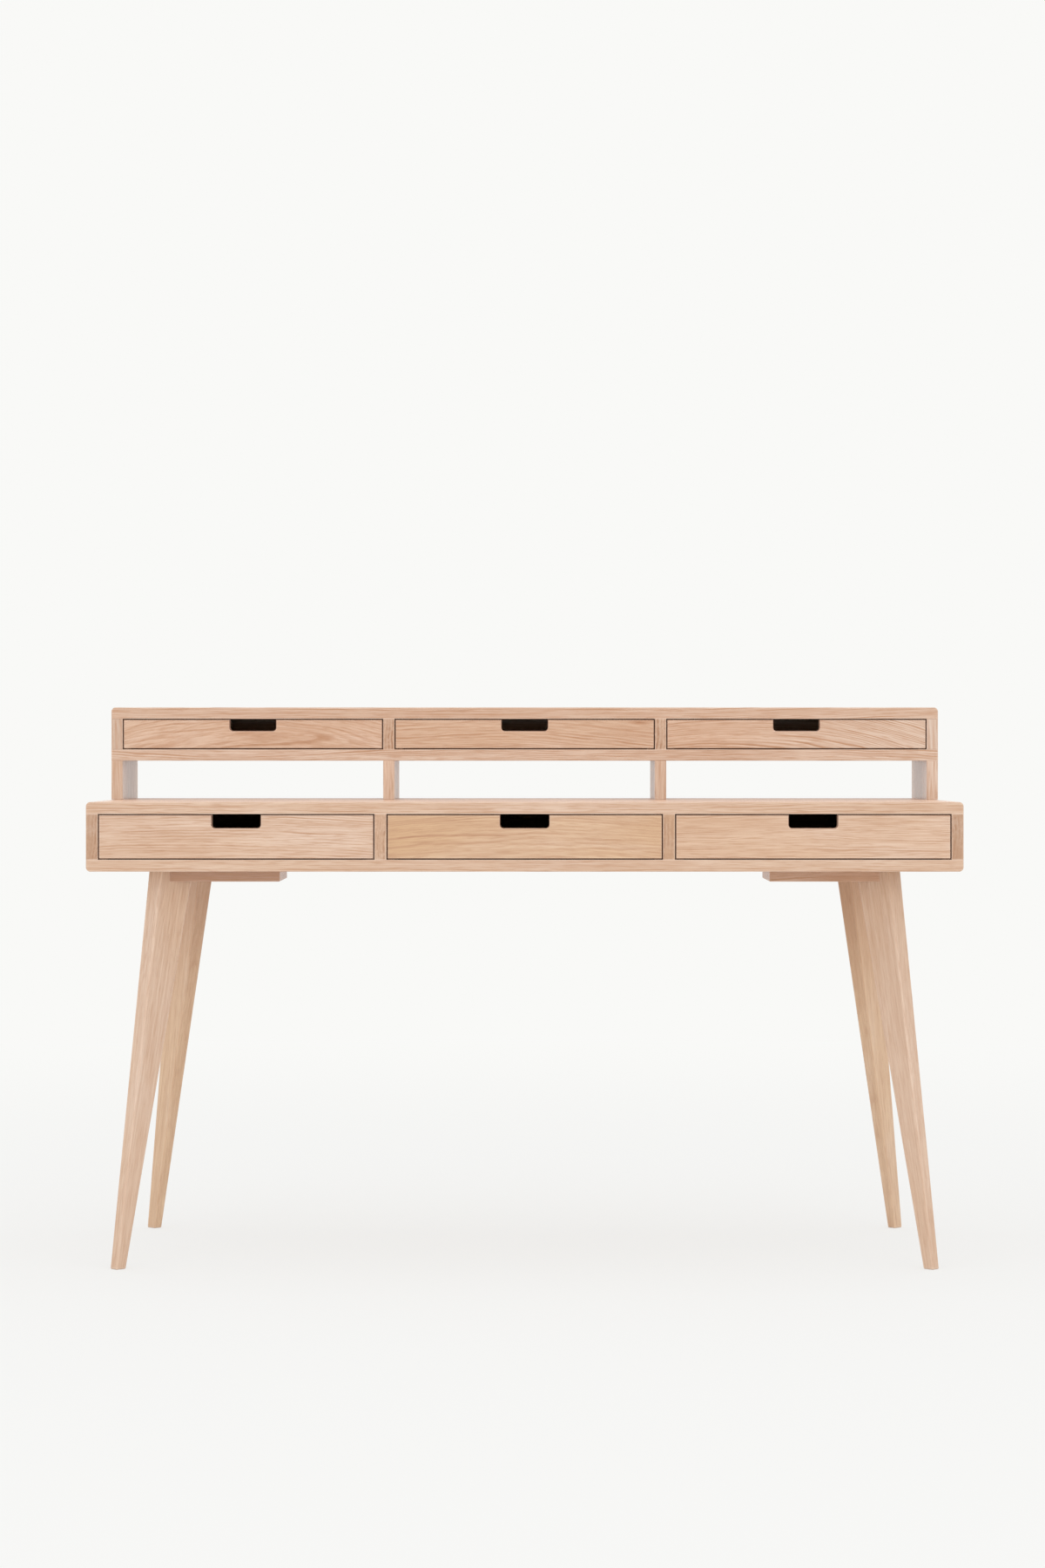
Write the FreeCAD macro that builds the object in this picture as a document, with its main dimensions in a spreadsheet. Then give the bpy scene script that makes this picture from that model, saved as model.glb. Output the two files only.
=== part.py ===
import FreeCAD, Part
import os
import Sketcher

# A writing desk in light oak: a shallow case with three inset drawers on four diagonally splayed
# legs, and a gallery with three smaller drawers that stands on four uprights at the back of the top.
# Frame: origin on the floor under the middle of the case, +X to the right, the front faces -Y, +Z up.

SIZES = {
    # Case
    "desk_width": 1400,
    "desk_depth": 600,
    "desk_height": 750,
    "board": 19,
    "desk_opening": 73,
    "back_thickness": 10,
    "desk_corner_radius": 7,
    "edge_ease": 0.8,
    # Gallery
    "gallery_depth": 240,
    "gallery_opening": 52,
    "gallery_corner_radius": 7,
    "upright_height": 66,
    # Drawers
    "front_gap": 1.5,
    "drawer_seat_play": 0.3,
    "drawer_stop_play": 0.3,
    "drawer_front_thickness": 19,
    "drawer_wall": 12,
    "drawer_rebate_depth": 11,
    "drawer_rim_drop": 3,
    "drawer_bottom_thickness": 5,
    "drawer_bottom_lift": 8,
    "drawer_groove_depth": 5,
    "drawer_groove_play": 0.2,
    "drawer_housing_depth": 4,
    "drawer_back_inset": 12,
    "drawer_front_ease": 1,
    "drawer_corner_radius": 1.5,
    "notch_width": 78,
    "desk_notch_depth": 21,
    "gallery_notch_depth": 19,
    "notch_radius": 5.5,
    # Legs and their plates
    "leg_top_width": 68,
    "leg_top_thickness": 32,
    "leg_foot_width": 20,
    "leg_foot_thickness": 17,
    "leg_splay": 78,
    "leg_side_inset": 125,
    "back_leg_side_inset": 130.5,
    "leg_front_inset": 118,
    "leg_arris": 3,
    "leg_sole_ease": 2,
    "plate_length": 201,
    "plate_width": 178,
    "plate_thickness": 19,
    "plate_overhang": 23,
    "plate_gap": 30,
    "plate_ease": 1,
    # Screws and dowels
    "screw_diameter": 5,
    "screw_head_diameter": 10,
    "screw_edge_inset": 24,
    "dowel_diameter": 8,
    "dowel_reach": 18,
    "dowel_end_play": 0.8,
    "fastener_play": 0.1,
}

# How far dowels and screws enter a board that lies flat, as a share of its thickness
BITE_SHARE = 0.62
# Where the dowels stand along the depth of the board that they join
DESK_DOWEL_SHARES = (0.08, 0.45, 0.82)
GALLERY_DOWEL_SHARES = (0.35, 0.65)
UPRIGHT_DOWEL_SHARES = (0.2, 0.8)

doc = FreeCAD.newDocument("WritingDesk")
sheet = doc.addObject("Spreadsheet::Sheet", "Sizes")
for row, (alias, size) in enumerate(SIZES.items(), start=1):
    sheet.set(f"A{row}", alias)
    sheet.set(f"B{row}", str(size))
    sheet.setAlias(f"B{row}", alias)
doc.recompute()

# Derived measures, written as expressions on the sheet
HALF_WIDTH = "Sizes.desk_width / 2"
HALF_DEPTH = "Sizes.desk_depth / 2"
BAY = "((Sizes.desk_width - 4 * Sizes.board) / 3)"
BAY_STEP = f"({BAY} + Sizes.board)"
DESK_INSIDE = "(Sizes.desk_height - Sizes.board - Sizes.desk_opening)"
DESK_UNDERSIDE = f"({DESK_INSIDE} - Sizes.board)"
GALLERY_FRONT = f"({HALF_DEPTH} - Sizes.gallery_depth)"
GALLERY_UNDERSIDE = "(Sizes.desk_height + Sizes.upright_height)"
GALLERY_INSIDE = f"({GALLERY_UNDERSIDE} + Sizes.board)"
GALLERY_CEILING = f"({GALLERY_INSIDE} + Sizes.gallery_opening)"
BITE = f"(Sizes.board * {BITE_SHARE})"
DOWEL_RADIUS = "Sizes.dowel_diameter / 2"
DOWEL_HOLE_RADIUS = "(Sizes.dowel_diameter / 2 + Sizes.fastener_play)"
SCREW_HOLE_RADIUS = "(Sizes.screw_diameter / 2 + Sizes.fastener_play)"
SCREW_HEAD_HEIGHT = "((Sizes.screw_head_diameter - Sizes.screw_diameter) / 2)"


def measure(expression):
    """The present value of an expression on the sheet."""
    return float(sheet.evalExpression(expression))


def new_body(label, x="0", y="0", z="0", turn="0"):
    """An empty body that carries its piece's name, placed by expressions and turned about +Z."""
    body = doc.addObject("PartDesign::Body", label)
    body.Label = label
    body.Placement.Rotation = FreeCAD.Rotation(FreeCAD.Vector(0, 0, 1), float(turn))
    for axis, expression in zip("xyz", (x, y, z)):
        body.setExpression(f"Placement.Base.{axis}", expression)
    return body


def new_sketch(body, name, plane, level="0"):
    """A sketch on one of the body's own origin planes, lifted along the plane's normal by level."""
    sketch = body.newObject("Sketcher::SketchObject", name)
    support = next(item for item in body.Origin.OriginFeatures if item.Role == plane)
    sketch.AttachmentSupport = [(support, "")]
    sketch.MapMode = "FlatFace"
    sketch.setExpression("AttachmentOffset.Base.z", level)
    return sketch


def pin_point(sketch, geometry, point, x, y):
    """Ties one point of a sketch to the sheet, by its distances from the sketch's origin."""
    for kind, expression, axis in (("DistanceX", x, -2), ("DistanceY", y, -1)):
        distance = measure(expression)
        if distance == 0:
            sketch.addConstraint(Sketcher.Constraint("PointOnObject", geometry, point, axis))
            continue
        ends = (-1, 1, geometry, point) if distance > 0 else (geometry, point, -1, 1)
        index = sketch.addConstraint(Sketcher.Constraint(kind, *ends, abs(distance)))
        signed = expression if distance > 0 else f"-({expression})"
        sketch.setExpression(f"Constraints[{index}]", signed)


def outline(body, name, plane, points, level="0"):
    """A closed outline through points that are pairs of expressions."""
    sketch = new_sketch(body, name, plane, level)
    corners = [FreeCAD.Vector(measure(x), measure(y), 0) for x, y in points]
    count = len(corners)
    for index in range(count):
        sketch.addGeometry(Part.LineSegment(corners[index], corners[(index + 1) % count]), False)
    for index, (x, y) in enumerate(points):
        sketch.addConstraint(Sketcher.Constraint("Coincident", index, 2, (index + 1) % count, 1))
        pin_point(sketch, index, 1, x, y)
    return sketch


def rectangle(x0, y0, x1, y1):
    """The four corners of an upright rectangle."""
    return [(x0, y0), (x1, y0), (x1, y1), (x0, y1)]


def pad(body, sketch, length, reverse=False):
    """The solid that a sketch sweeps along its plane's normal, or against it."""
    feature = body.newObject("PartDesign::Pad", "Pad")
    feature.Profile = sketch
    feature.setExpression("Length", length)
    feature.Reversed = reverse
    return feature


def pocket(body, sketch, depth, reverse=False):
    """A cut of the given depth against the sketch's normal, or along it."""
    before = body.Tip.Shape.Volume
    feature = body.newObject("PartDesign::Pocket", "Pocket")
    feature.Profile = sketch
    feature.setExpression("Length", depth)
    feature.Reversed = reverse
    doc.recompute()
    if feature.Shape.Volume >= before:
        raise RuntimeError(f"{body.Label}: {sketch.Label} cuts nothing")
    return feature


def drill(body, name, centres, radius, level, depth, upward):
    """Blind round holes from a level of the body, upward or downward."""
    sketch = new_sketch(body, name, "XY_Plane", level)
    for x, y in centres:
        centre = FreeCAD.Vector(measure(x), measure(y), 0)
        circle = Part.Circle(centre, FreeCAD.Vector(0, 0, 1), measure(radius))
        index = sketch.addGeometry(circle, False)
        pin_point(sketch, index, 3, x, y)
        bound = sketch.addConstraint(Sketcher.Constraint("Radius", index, circle.Radius))
        sketch.setExpression(f"Constraints[{bound}]", radius)
    return pocket(body, sketch, depth, reverse=upward)


def dress(body, kind, size, chosen):
    """A fillet or chamfer on the edges of the body's last feature that the test chooses."""
    doc.recompute()
    base = body.Tip
    edges = [f"Edge{index}" for index, edge in enumerate(base.Shape.Edges, start=1) if chosen(edge)]
    feature = body.newObject(f"PartDesign::{kind}", kind)
    feature.Base = (base, edges)
    feature.setExpression("Radius" if kind == "Fillet" else "Size", size)
    return feature


def lies_at(edge, axis, expression):
    """Whether an edge lies wholly at one coordinate of its body's frame."""
    place = measure(expression)
    box = edge.BoundBox
    low, high = (getattr(box, f"{axis}Min"), getattr(box, f"{axis}Max"))
    tolerance = measure("Sizes.edge_ease") / 100
    return abs(low - place) < tolerance and abs(high - place) < tolerance


def board(label, width, depth, height, place):
    """A plain board, from its lower left front corner."""
    body = new_body(label, *place)
    pad(body, outline(body, "Outline", "XY_Plane", rectangle("0", "0", width, depth)), height)
    doc.recompute()
    return body


def ease(body, depth, chosen):
    """Breaks the chosen edges of a board's front and back faces."""
    def at_front_or_back(edge):
        return lies_at(edge, "Y", "0") or lies_at(edge, "Y", depth)
    dress(body, "Chamfer", "Sizes.edge_ease", lambda edge: at_front_or_back(edge) and chosen(edge))


def round_ends(body, level, width, radius):
    """Rounds the two short edges of a flat board at one level."""
    def at_an_end(edge):
        return lies_at(edge, "Z", level) and (lies_at(edge, "X", "0") or lies_at(edge, "X", width))
    dress(body, "Fillet", radius, at_an_end)


# The dowels stand on the joints between upright and flat boards. Each is kept as its place and the
# heights of its two ends, for the holes and for the group of pegs.
dowels = []


def stand_of_upright_board(index):
    """The left face of one of the four upright boards in a row, counted from the left."""
    return f"({index} * {BAY_STEP} - {HALF_WIDTH})"


def dowel_depths(start, depth, shares):
    """Depths behind the front edge of the desk where a row of dowels stands."""
    return [f"({start} + {share} * {depth})" for share in shares]


def peg(x, y, joint, upright_above):
    """Notes one dowel across a horizontal joint."""
    below, above = (BITE, "Sizes.dowel_reach") if upright_above else ("Sizes.dowel_reach", BITE)
    dowels.append((x, y, f"({joint} - {below})", f"({below} + {above})"))


def flat_board(label, depth, front, level, rows_below, rows_above):
    """A full-width board with its rows of dowel holes from below and from above."""
    body = board(label, "Sizes.desk_width", depth, "Sizes.board", (f"-{HALF_WIDTH}", front, level))
    hole_depth = f"{BITE} + Sizes.dowel_end_play"
    for name, rows, height, upward in (("HolesBelow", rows_below, "0", True),
                                       ("HolesAbove", rows_above, "Sizes.board", False)):
        if not rows:
            continue
        joint = level if upward else f"({level} + Sizes.board)"
        centres = []
        for index in range(4):
            middle = f"({index} * {BAY_STEP} + Sizes.board / 2)"
            for row in rows:
                centres.append((middle, f"({row} - ({front}))"))
                peg(f"({middle} - {HALF_WIDTH})", row, joint, upright_above=not upward)
        drill(body, name, centres, DOWEL_HOLE_RADIUS, height, hole_depth, upward)
    return body


def upright_board(label, index, depth, height, front, level, rows_below, rows_above):
    """One of the four boards that stand in a row, with dowel holes in its two ends. The outer two
    have their outward edges broken, and a fine line round their joints in the gallery."""
    body = board(label, "Sizes.board", depth, height, (stand_of_upright_board(index), front, level))
    hole_depth = "Sizes.dowel_reach + Sizes.dowel_end_play"
    ends = (("HolesBelow", rows_below, "0", True), ("HolesAbove", rows_above, height, False))
    for name, rows, end, upward in ends:
        centres = [("Sizes.board / 2", f"({row} - ({front}))") for row in rows]
        drill(body, name, centres, DOWEL_HOLE_RADIUS, end, hole_depth, upward)
    outer = {0: "0", 3: "Sizes.board"}.get(index)
    if label.startswith("upright"):
        ease(body, depth, lambda edge: True)
    elif outer and label.startswith("gallery"):
        across = measure("Sizes.board / 2")
        ease(body, depth, lambda edge: lies_at(edge, "X", outer) or edge.BoundBox.XLength > across)
    elif outer:
        ease(body, depth, lambda edge: lies_at(edge, "X", outer))
    return body


DESK_ROWS = dowel_depths(f"-{HALF_DEPTH}", "Sizes.desk_depth", DESK_DOWEL_SHARES)
GALLERY_ROWS = dowel_depths(GALLERY_FRONT, "Sizes.gallery_depth", GALLERY_DOWEL_SHARES)
UPRIGHT_ROWS = dowel_depths(GALLERY_FRONT, "Sizes.gallery_depth", UPRIGHT_DOWEL_SHARES)

# Case: top and bottom run the full width over the sides and dividers
desk_top_level = "(Sizes.desk_height - Sizes.board)"
desk_top = flat_board("desk_top", "Sizes.desk_depth", f"-{HALF_DEPTH}", desk_top_level,
                      DESK_ROWS, UPRIGHT_ROWS)
round_ends(desk_top, "Sizes.board", "Sizes.desk_width", "Sizes.desk_corner_radius")
ease(desk_top, "Sizes.desk_depth", lambda edge: lies_at(edge, "Z", "Sizes.board"))
desk_bottom = flat_board("desk_bottom", "Sizes.desk_depth", f"-{HALF_DEPTH}", DESK_UNDERSIDE,
                         [], DESK_ROWS)
round_ends(desk_bottom, "0", "Sizes.desk_width", "Sizes.desk_corner_radius")
ease(desk_bottom, "Sizes.desk_depth", lambda edge: lies_at(edge, "Z", "0"))
INNER_DEPTH = "(Sizes.desk_depth - Sizes.back_thickness)"
for index, label in enumerate(("desk_side_left", "desk_divider_left",
                               "desk_divider_right", "desk_side_right")):
    depth = "Sizes.desk_depth" if "side" in label else INNER_DEPTH
    upright_board(label, index, depth, "Sizes.desk_opening", f"-{HALF_DEPTH}", DESK_INSIDE,
                  DESK_ROWS, DESK_ROWS)
INNER_WIDTH = "(Sizes.desk_width - 2 * Sizes.board)"
board("desk_back", INNER_WIDTH, "Sizes.back_thickness", "Sizes.desk_opening",
      (f"Sizes.board - {HALF_WIDTH}", f"{HALF_DEPTH} - Sizes.back_thickness", DESK_INSIDE))

# Gallery: a smaller case of the same build, flush with the back of the desk, on four uprights
for index, label in enumerate(("upright_outer_left", "upright_inner_left",
                               "upright_inner_right", "upright_outer_right")):
    upright_board(label, index, "Sizes.gallery_depth", "Sizes.upright_height", GALLERY_FRONT,
                  "Sizes.desk_height", UPRIGHT_ROWS, UPRIGHT_ROWS)
gallery_bottom = flat_board("gallery_bottom", "Sizes.gallery_depth", GALLERY_FRONT,
                            GALLERY_UNDERSIDE, UPRIGHT_ROWS, GALLERY_ROWS)
ease(gallery_bottom, "Sizes.gallery_depth", lambda edge: lies_at(edge, "Z", "0"))
GALLERY_INNER_DEPTH = "(Sizes.gallery_depth - Sizes.back_thickness)"
for index, label in enumerate(("gallery_side_left", "gallery_divider_left",
                               "gallery_divider_right", "gallery_side_right")):
    depth = "Sizes.gallery_depth" if "side" in label else GALLERY_INNER_DEPTH
    upright_board(label, index, depth, "Sizes.gallery_opening", GALLERY_FRONT, GALLERY_INSIDE,
                  GALLERY_ROWS, GALLERY_ROWS)
gallery_top = flat_board("gallery_top", "Sizes.gallery_depth", GALLERY_FRONT, GALLERY_CEILING,
                         GALLERY_ROWS, [])
round_ends(gallery_top, "Sizes.board", "Sizes.desk_width", "Sizes.gallery_corner_radius")
ease(gallery_top, "Sizes.gallery_depth", lambda edge: lies_at(edge, "Z", "Sizes.board"))
board("gallery_back", INNER_WIDTH, "Sizes.back_thickness", "Sizes.gallery_opening",
      (f"Sizes.board - {HALF_WIDTH}", f"{HALF_DEPTH} - Sizes.back_thickness", GALLERY_INSIDE))

# The flat boards have noted each dowel once, for the joints above and below them
pegs = []
for index, (x, y, foot, length) in enumerate(dowels):
    pin = doc.addObject("Part::Cylinder", f"Dowel{index}")
    pin.setExpression("Radius", DOWEL_RADIUS)
    pin.setExpression("Height", length)
    for axis, expression in zip("xyz", (x, y, foot)):
        pin.setExpression(f"Placement.Base.{axis}", expression)
    pegs.append(pin)
dowel_group = doc.addObject("Part::Compound", "carcass_dowels")
dowel_group.Links = pegs

# Legs stand on the diagonals of the case. A leg's own +X axis points outward along its diagonal, so
# that every leg has the same leaning side view and the same tapered cheeks.
ROOT_HALF = "sqrt(0.5)"
LEG_STANDS = {
    # name: side of +X, side of +Y, turn about +Z in degrees
    "front_left": (-1, -1, 225),
    "front_right": (1, -1, 315),
    "back_left": (-1, 1, 135),
    "back_right": (1, 1, 45),
}
LEG_Y = f"({HALF_DEPTH} - Sizes.leg_front_inset)"
LEG_LEAN = "(Sizes.leg_splay * sqrt(2))"
# The two plates on one side share the depth between their outer edges, less the gap between them
PLATE_ROOM = f"(2 * ({LEG_Y} + Sizes.plate_overhang) - Sizes.plate_gap)"


def leg_x(side_y):
    """How far to the side the legs stand at the front, and a little less far at the back."""
    inset = "Sizes.leg_side_inset" if side_y < 0 else "Sizes.back_leg_side_inset"
    return f"({HALF_WIDTH} - {inset})"


def leg(name, side_x, side_y, turn):
    """A leg sawn to its side view from a plank, with its two cheeks tapered towards the foot, its
    arrises softened and the edge of its sole rounded."""
    place = (f"{side_x} * {leg_x(side_y)}", f"{side_y} * {LEG_Y}", "0")
    body = new_body(f"leg_{name}", *place, turn)
    inner_top, outer_top = ("-Sizes.leg_top_width / 2", "Sizes.leg_top_width / 2")
    inner_foot = f"({LEG_LEAN} - Sizes.leg_foot_width / 2)"
    outer_foot = f"({LEG_LEAN} + Sizes.leg_foot_width / 2)"
    side_view = [(inner_foot, "0"), (outer_foot, "0"),
                 (outer_top, DESK_UNDERSIDE), (inner_top, DESK_UNDERSIDE)]
    sketch = outline(body, "SideView", "XZ_Plane", side_view, "-Sizes.leg_top_thickness / 2")
    pad(body, sketch, "Sizes.leg_top_thickness")
    doc.recompute()
    for side in (-1, 1):
        cheek = f"{side} * Sizes.leg_top_thickness / 2"
        wedge = [(cheek, "0"), (f"{side} * Sizes.leg_foot_thickness / 2", "0"),
                 (cheek, DESK_UNDERSIDE)]
        sketch = outline(body, "CheekTaper", "YZ_Plane", wedge, inner_top)
        pocket(body, sketch, f"({outer_foot} - {inner_top})", True)

    def runs_down(edge):
        return edge.BoundBox.ZLength > measure(f"{DESK_UNDERSIDE} / 2")
    dress(body, "Fillet", "Sizes.leg_arris", runs_down)
    dress(body, "Fillet", "Sizes.leg_sole_ease", lambda edge: lies_at(edge, "Z", "0"))


def along_diagonal(out_x, out_y, hand):
    """Turns distances outward along X and Y into a leg's own axes."""
    along = f"(({out_x} + {out_y}) * {ROOT_HALF})"
    across = f"({hand} * ({out_x} - ({out_y})) * {ROOT_HALF})"
    return along, across


def plate_reach(side_y):
    """How far a plate runs inward along X and Y. The long side lies along X at the front and along
    Y at the back, and the two share the depth in that proportion."""
    lengths = ("Sizes.plate_length", "Sizes.plate_width")
    reach_x, turned = lengths if side_y < 0 else lengths[::-1]
    return reach_x, f"({PLATE_ROOM} * {turned} / (Sizes.plate_length + Sizes.plate_width))"


def screw_stands(side_y):
    """Places of a plate's screws, outward from the leg's top: three corners and the middle."""
    reach_x, reach_y = plate_reach(side_y)
    near = "(Sizes.plate_overhang - Sizes.screw_edge_inset)"
    far_x = f"(Sizes.plate_overhang - {reach_x} + Sizes.screw_edge_inset)"
    far_y = f"(Sizes.plate_overhang - {reach_y} + Sizes.screw_edge_inset)"
    middle = (f"(Sizes.plate_overhang - {reach_x} / 2)", f"(Sizes.plate_overhang - {reach_y} / 2)")
    return [(far_x, near), (far_x, far_y), (near, far_y), middle]


def leg_slot(body, level):
    """Cuts a slot for the leg's taper through a plate at this level, open to the plate's corner."""
    past = "Sizes.plate_overhang"
    top = rectangle("-Sizes.leg_top_width / 2", "-Sizes.leg_top_thickness / 2",
                    f"(Sizes.leg_top_width / 2 + {past})", "Sizes.leg_top_thickness / 2")
    foot = rectangle(f"({LEG_LEAN} - Sizes.leg_foot_width / 2)", "-Sizes.leg_foot_thickness / 2",
                     f"({LEG_LEAN} + Sizes.leg_foot_width / 2 + {past})",
                     "Sizes.leg_foot_thickness / 2")
    profile = outline(body, "LegTop", "XY_Plane", top, "Sizes.plate_thickness")
    sole = outline(body, "LegSole", "XY_Plane", foot, f"-{level}")
    feature = body.newObject("PartDesign::SubtractiveLoft", "LegSlot")
    feature.Profile = profile
    feature.Sections = [sole]
    feature.Ruled = True
    doc.recompute()


def leg_plate(name, side_x, side_y, turn):
    """A flat plate under the case, slotted at its outer corner for the leg that is glued in."""
    level = f"({DESK_UNDERSIDE} - Sizes.plate_thickness)"
    place = (f"{side_x} * {leg_x(side_y)}", f"{side_y} * {LEG_Y}", level)
    body = new_body(f"leg_plate_{name}", *place, turn)
    hand = -side_x * side_y
    reach_x, reach_y = plate_reach(side_y)
    out = "Sizes.plate_overhang"
    corners = ((out, out), (f"({out} - {reach_x})", out),
               (f"({out} - {reach_x})", f"({out} - {reach_y})"), (out, f"({out} - {reach_y})"))
    points = [along_diagonal(x, y, hand) for x, y in corners]
    pad(body, outline(body, "Outline", "XY_Plane", points), "Sizes.plate_thickness")
    dress(body, "Chamfer", "Sizes.plate_ease", lambda edge: lies_at(edge, "Z", "0"))
    doc.recompute()
    centres = [along_diagonal(x, y, hand) for x, y in screw_stands(side_y)]
    drill(body, "ScrewHoles", centres, SCREW_HOLE_RADIUS, "0", "Sizes.plate_thickness", True)

    def rims_a_screw_hole(edge):
        return lies_at(edge, "Z", "0") and isinstance(edge.Curve, Part.Circle)
    dress(body, "Chamfer", SCREW_HEAD_HEIGHT, rims_a_screw_hole)
    leg_slot(body, level)


screws = []
pilot_centres = []
for name, (side_x, side_y, turn) in LEG_STANDS.items():
    leg(name, side_x, side_y, turn)
    leg_plate(name, side_x, side_y, turn)
    for out_x, out_y in screw_stands(side_y):
        x = f"{side_x} * ({leg_x(side_y)} + {out_x})"
        y = f"{side_y} * ({LEG_Y} + {out_y})"
        pilot_centres.append((f"({HALF_WIDTH} + {x})", f"({HALF_DEPTH} + {y})"))
        shank = doc.addObject("Part::Cylinder", "Shank")
        shank.setExpression("Radius", "Sizes.screw_diameter / 2")
        shank.setExpression("Height", f"Sizes.plate_thickness + {BITE}")
        head = doc.addObject("Part::Cone", "Head")
        head.setExpression("Radius1", "Sizes.screw_head_diameter / 2")
        head.setExpression("Radius2", "Sizes.screw_diameter / 2")
        head.setExpression("Height", SCREW_HEAD_HEIGHT)
        screw = doc.addObject("Part::Fuse", "Screw")
        screw.Base = shank
        screw.Tool = head
        for axis, expression in zip("xyz", (x, y, f"{DESK_UNDERSIDE} - Sizes.plate_thickness")):
            screw.setExpression(f"Placement.Base.{axis}", expression)
        screws.append(screw)
screw_group = doc.addObject("Part::Compound", "leg_plate_screws")
screw_group.Links = screws
drill(desk_bottom, "PilotHoles", pilot_centres, SCREW_HOLE_RADIUS, "0",
      f"{BITE} + Sizes.dowel_end_play", True)

# Drawers: a notched front, rebated behind for two grooved sides, a housed back and a thin bottom
FRONT_WIDTH = f"({BAY} - 2 * Sizes.front_gap)"
SIDE_START = "(Sizes.drawer_front_thickness - Sizes.drawer_rebate_depth)"
BOX_INSIDE = f"({FRONT_WIDTH} - 2 * Sizes.drawer_wall)"
GROOVE_HEIGHT = "(Sizes.drawer_bottom_thickness + 2 * Sizes.drawer_groove_play)"
GROOVE_TOP = f"(Sizes.drawer_bottom_lift + {GROOVE_HEIGHT})"
SIDE_FOOT = "(Sizes.front_gap - Sizes.drawer_seat_play)"


def drawer_front(label, place, height, notch_depth, side_height):
    """The front, with a finger notch in the middle of its upper edge."""
    body = new_body(label, *place)
    left = f"({FRONT_WIDTH} - Sizes.notch_width) / 2"
    right = f"({FRONT_WIDTH} + Sizes.notch_width) / 2"
    floor = f"({height} - {notch_depth})"
    points = [("0", "0"), (FRONT_WIDTH, "0"), (FRONT_WIDTH, height), (right, height),
              (right, floor), (left, floor), (left, height), ("0", height)]
    pad(body, outline(body, "Face", "XZ_Plane", points), "Sizes.drawer_front_thickness", True)

    def is_a_notch_corner(edge):
        at_floor = lies_at(edge, "Z", floor)
        return at_floor and (lies_at(edge, "X", left) or lies_at(edge, "X", right))
    dress(body, "Fillet", "Sizes.notch_radius", is_a_notch_corner)

    def is_an_outer_corner(edge):
        at_end = lies_at(edge, "X", "0") or lies_at(edge, "X", FRONT_WIDTH)
        return at_end and (lies_at(edge, "Z", "0") or lies_at(edge, "Z", height))
    dress(body, "Fillet", "Sizes.drawer_corner_radius", is_an_outer_corner)
    dress(body, "Chamfer", "Sizes.drawer_front_ease", lambda edge: lies_at(edge, "Y", "0"))
    doc.recompute()
    back_level = "-Sizes.drawer_front_thickness"
    side_top = f"({side_height} - {SIDE_FOOT})"
    rebates = ((("0", "Sizes.drawer_wall"), "LeftRebate"),
               ((f"({FRONT_WIDTH} - Sizes.drawer_wall)", FRONT_WIDTH), "RightRebate"))
    for (start, end), name in rebates:
        points = rectangle(start, "0", end, side_top)
        pocket(body, outline(body, name, "XZ_Plane", points, back_level),
               "Sizes.drawer_rebate_depth", True)
    groove_foot = f"(Sizes.drawer_bottom_lift - {SIDE_FOOT})"
    points = rectangle("Sizes.drawer_wall", groove_foot, f"({FRONT_WIDTH} - Sizes.drawer_wall)",
                       f"({groove_foot} + {GROOVE_HEIGHT})")
    pocket(body, outline(body, "BottomGroove", "XZ_Plane", points, back_level),
           "Sizes.drawer_groove_depth", True)


def drawer_side(label, place, length, height, inner_is_right):
    """A side, grooved for the bottom along its inner face and housed for the back."""
    body = new_body(label, *place)
    wall = "Sizes.drawer_wall"
    lift = "Sizes.drawer_bottom_lift"
    cheek = f"({wall} - Sizes.drawer_groove_depth)" if inner_is_right else "Sizes.drawer_groove_depth"
    inner, outer = (wall, "0") if inner_is_right else ("0", wall)
    section = [(outer, "0"), (inner, "0"), (inner, lift), (cheek, lift),
               (cheek, GROOVE_TOP), (inner, GROOVE_TOP), (inner, height), (outer, height)]
    pad(body, outline(body, "Section", "XZ_Plane", section), length, True)
    doc.recompute()
    end = f"({length} - Sizes.drawer_back_inset)"
    housing = rectangle(f"({end} - {wall})", GROOVE_TOP, end, height)
    sketch = outline(body, "BackHousing", "YZ_Plane", housing, inner)
    pocket(body, sketch, "Sizes.drawer_housing_depth", not inner_is_right)


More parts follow.
